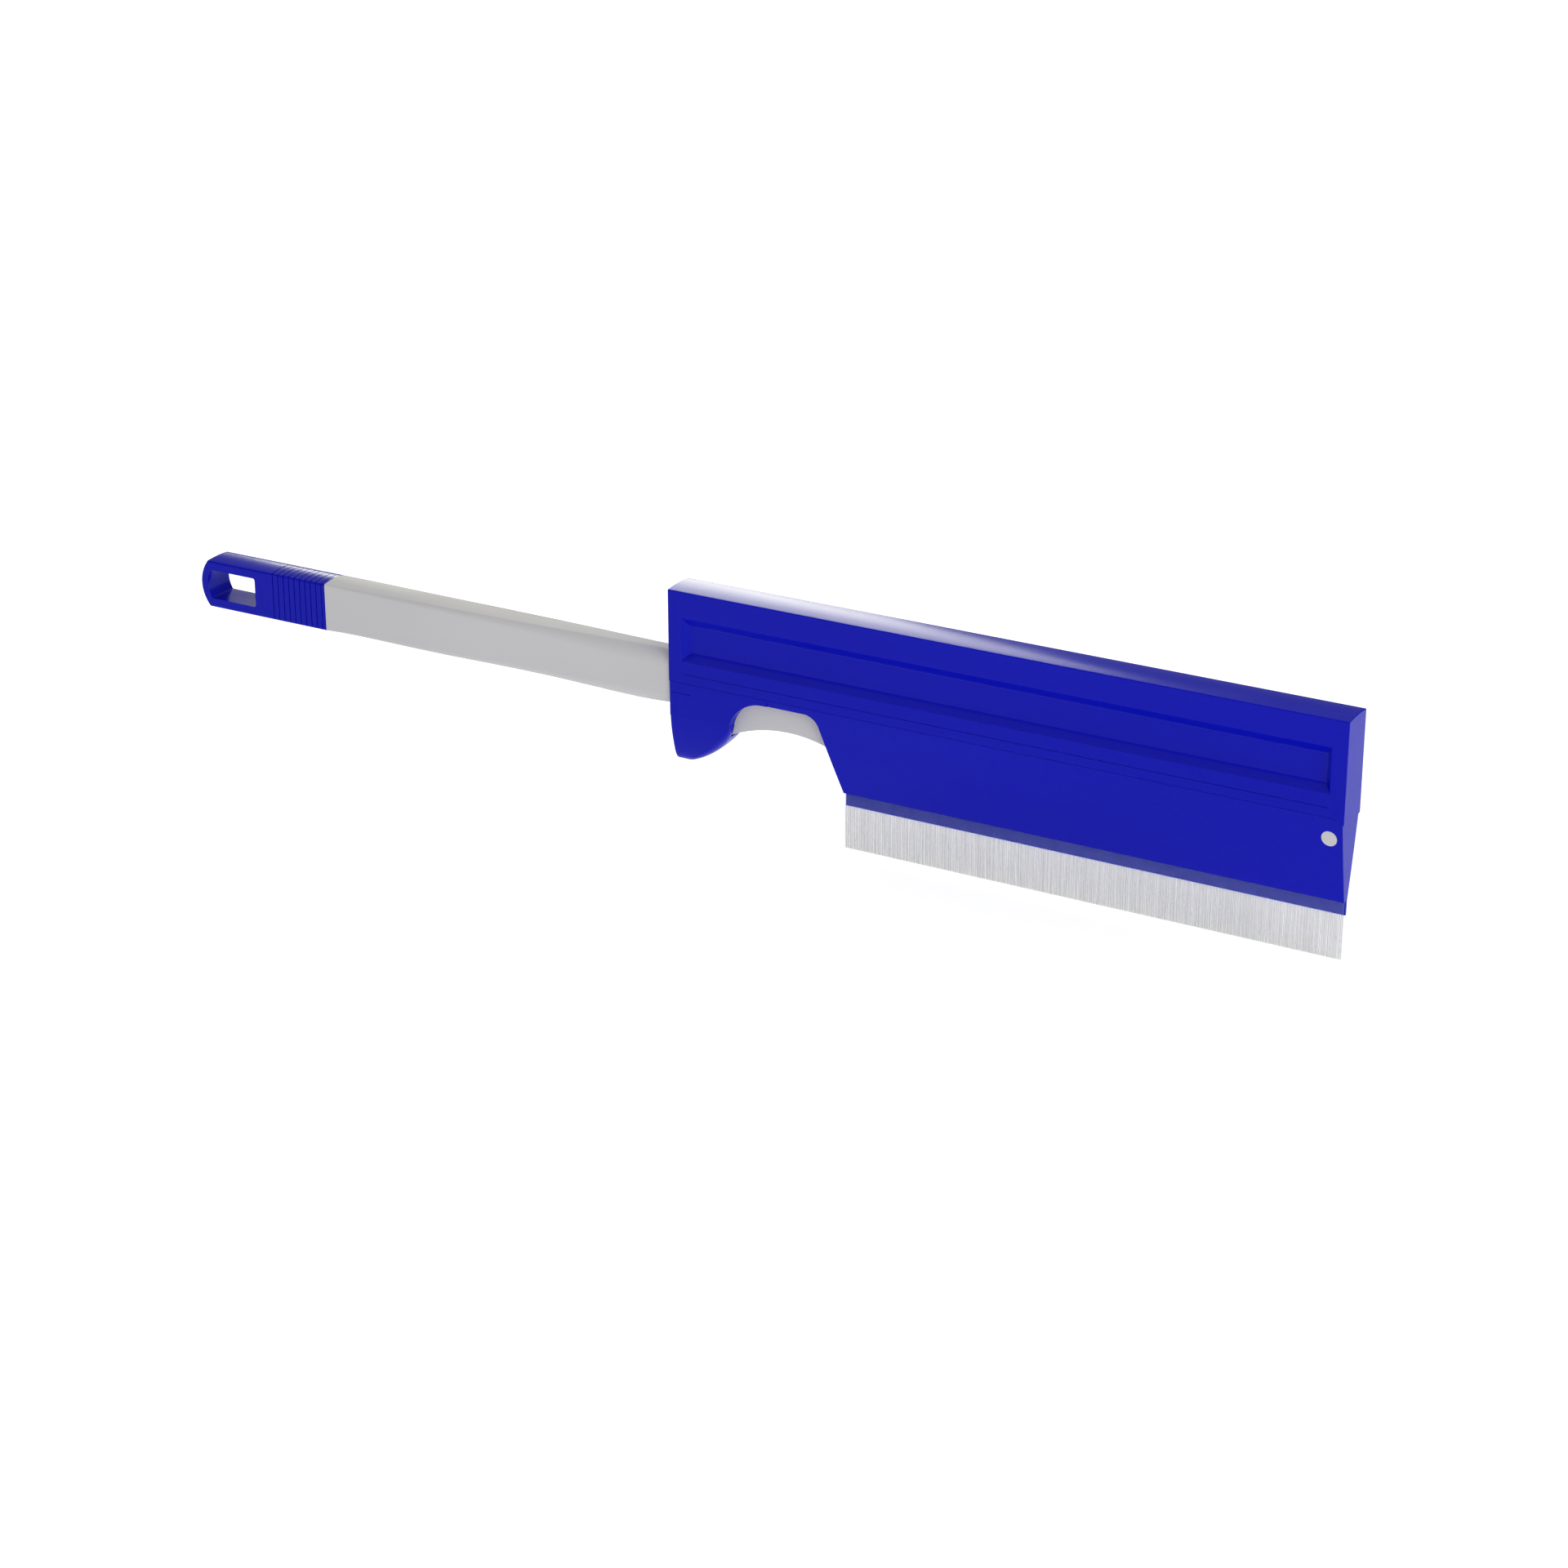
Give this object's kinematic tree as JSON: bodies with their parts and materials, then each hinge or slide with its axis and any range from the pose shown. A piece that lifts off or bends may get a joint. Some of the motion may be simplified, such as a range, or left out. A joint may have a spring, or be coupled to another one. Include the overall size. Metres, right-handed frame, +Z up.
{
  "type": "algae scraper",
  "caption": "Long-handled algae scraper: slim handle, hollow blue head with a strip of bristles, and a brush block that folds down off a hidden blade.",
  "frame": {"origin": "middle of the tool's footprint, on the plane of the bristle tips", "axes": "+X along the tool from the grip to the pivot, +Y towards the back of the head, +Z up from the bristle tips to the top of the head"},
  "size_m": [0.6474, 0.02, 0.1212],
  "materials": {
    "blue_plastic": "glossy moulded royal-blue plastic",
    "grey_plastic": "satin light-grey plastic",
    "stainless_steel": "brushed stainless steel",
    "aluminium_bar": "extruded aluminium",
    "brass": "turned brass",
    "acetal": "smooth white bearing plastic",
    "nylon_bristle": "translucent white nylon filament",
    "rubber": "soft black rubber"
  },
  "bodies": {
    "scraper": {"handle": "grey_plastic", "grip": "blue_plastic", "grip_screws": "stainless_steel", "spine_cap": "blue_plastic", "spine_screws": "stainless_steel", "spine_inserts": "brass", "scraper_blade": "stainless_steel", "blade_clamp": "aluminium_bar", "blade_screws": "stainless_steel", "blade_nuts": "stainless_steel", "pivot_bush": "acetal"},
    "brush": {"brush_front_shell": "blue_plastic", "brush_rear_shell": "blue_plastic", "shell_screws": "stainless_steel", "clamp_screws": "stainless_steel", "pivot_pin": "grey_plastic", "pin_cap": "grey_plastic", "friction_washers": "acetal", "bristle_channel": "stainless_steel", "core_wire": "stainless_steel", "bristles": "nylon_bristle", "catch_spring": "stainless_steel", "catch_rivets": "stainless_steel", "stop_plug": "rubber"}
  },
  "joints": [
    {"name": "brush_fold", "type": "hinge", "parent": "scraper", "child": "brush", "pos_m": [0.31655, 0, 0.0622], "axis": [0, -1, 0], "range_deg": [0, 90]}
  ]
}
